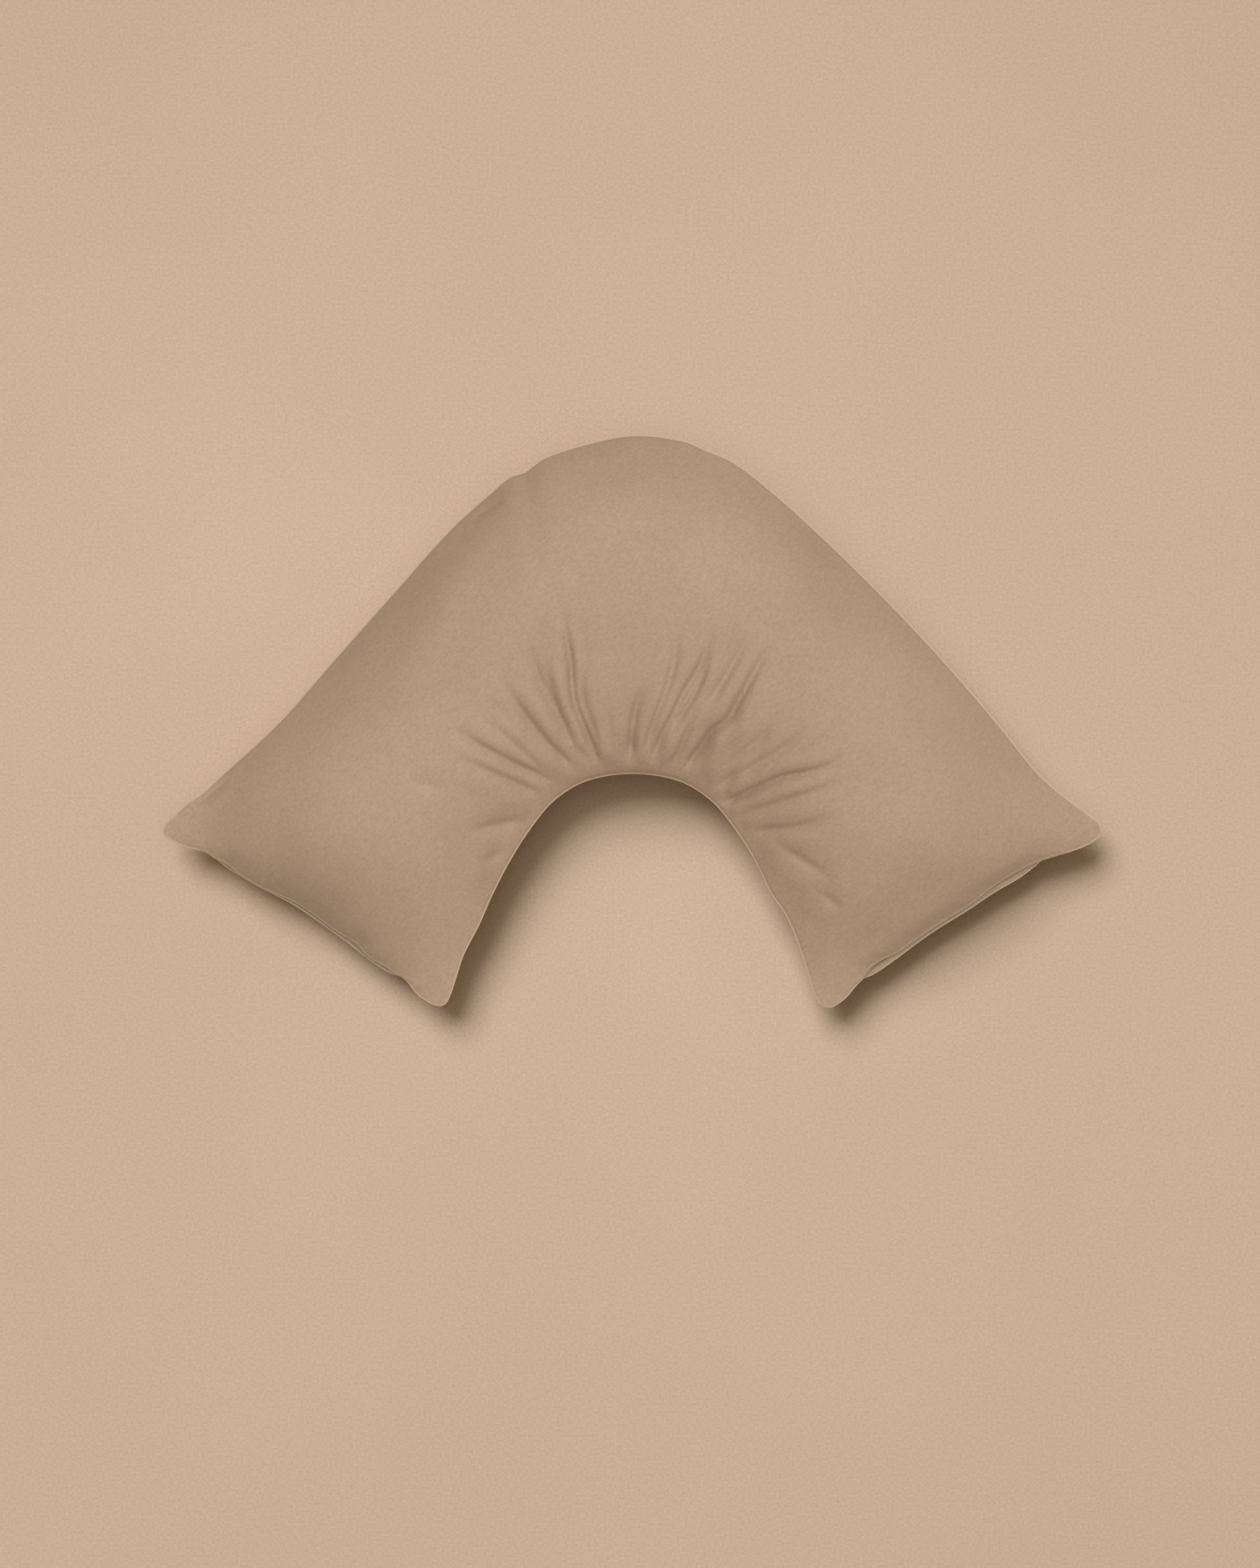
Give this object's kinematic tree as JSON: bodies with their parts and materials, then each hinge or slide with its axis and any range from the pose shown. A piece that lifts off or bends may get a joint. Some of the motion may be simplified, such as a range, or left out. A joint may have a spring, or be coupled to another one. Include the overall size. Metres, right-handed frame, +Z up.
{
  "type": "nursing pillow",
  "caption": "V-shaped stuffed nursing pillow with a waist notch, in a fabric cover with a concealed zip across each arm end.",
  "frame": {"origin": "on the ground, at the centre of the footprint", "axes": "+Z up, +Y towards the apex of the V, X across the two arms"},
  "size_m": [0.842, 0.511, 0.1366],
  "materials": {
    "cover_fabric": "brushed fine-knit cotton, matt",
    "sewing_thread": "polyester thread",
    "casing_fabric": "plain-woven cotton, matt",
    "casing_thread": "polyester thread",
    "label_tape": "woven satin tape, blank",
    "filling": "loose siliconised polyester fibre",
    "zip_tape": "herringbone-woven tape",
    "zip_coil": "moulded monofilament",
    "zip_metal": "satin enamel"
  },
  "bodies": {
    "cover": {"cover_top_panel": "cover_fabric", "cover_bottom_panel": "cover_fabric", "outer_seam_thread": "sewing_thread", "notch_seam_thread": "sewing_thread", "care_label": "label_tape", "inner_casing_top": "casing_fabric", "inner_casing_bottom": "casing_fabric", "inner_seam_thread": "casing_thread", "inner_label": "label_tape", "fibre_filling": "filling", "left_zip_upper_tape": "zip_tape", "left_zip_lower_tape": "zip_tape", "left_zip_upper_coil": "zip_coil", "left_zip_lower_coil": "zip_coil", "left_zip_top_stops": "zip_metal", "left_zip_bottom_stop": "zip_metal", "left_zip_stitching": "sewing_thread", "right_zip_upper_tape": "zip_tape", "right_zip_lower_tape": "zip_tape", "right_zip_upper_coil": "zip_coil", "right_zip_lower_coil": "zip_coil", "right_zip_top_stops": "zip_metal", "right_zip_bottom_stop": "zip_metal", "right_zip_stitching": "sewing_thread"},
    "left_slider": {"left_zip_slider": "zip_metal"},
    "left_tab": {"left_zip_pull_tab": "zip_metal"},
    "right_slider": {"right_zip_slider": "zip_metal"},
    "right_tab": {"right_zip_pull_tab": "zip_metal"}
  },
  "joints": [
    {"name": "left_slider_slide", "type": "slide", "parent": "cover", "child": "left_slider", "axis": [0.8421, -0.5394, 0], "range_m": [0, 0.18]},
    {"name": "left_tab_flip", "type": "hinge", "parent": "left_slider", "child": "left_tab", "pos_m": [-0.36736, -0.11766, 0.04], "axis": [0, 0, -1], "range_deg": [0, 150]},
    {"name": "right_slider_slide", "type": "slide", "parent": "cover", "child": "right_slider", "axis": [-0.8421, -0.5394, 0], "range_m": [0, 0.18]},
    {"name": "right_tab_flip", "type": "hinge", "parent": "right_slider", "child": "right_tab", "pos_m": [0.36736, -0.11766, 0.04], "axis": [0, 0, 1], "range_deg": [0, 150]}
  ]
}
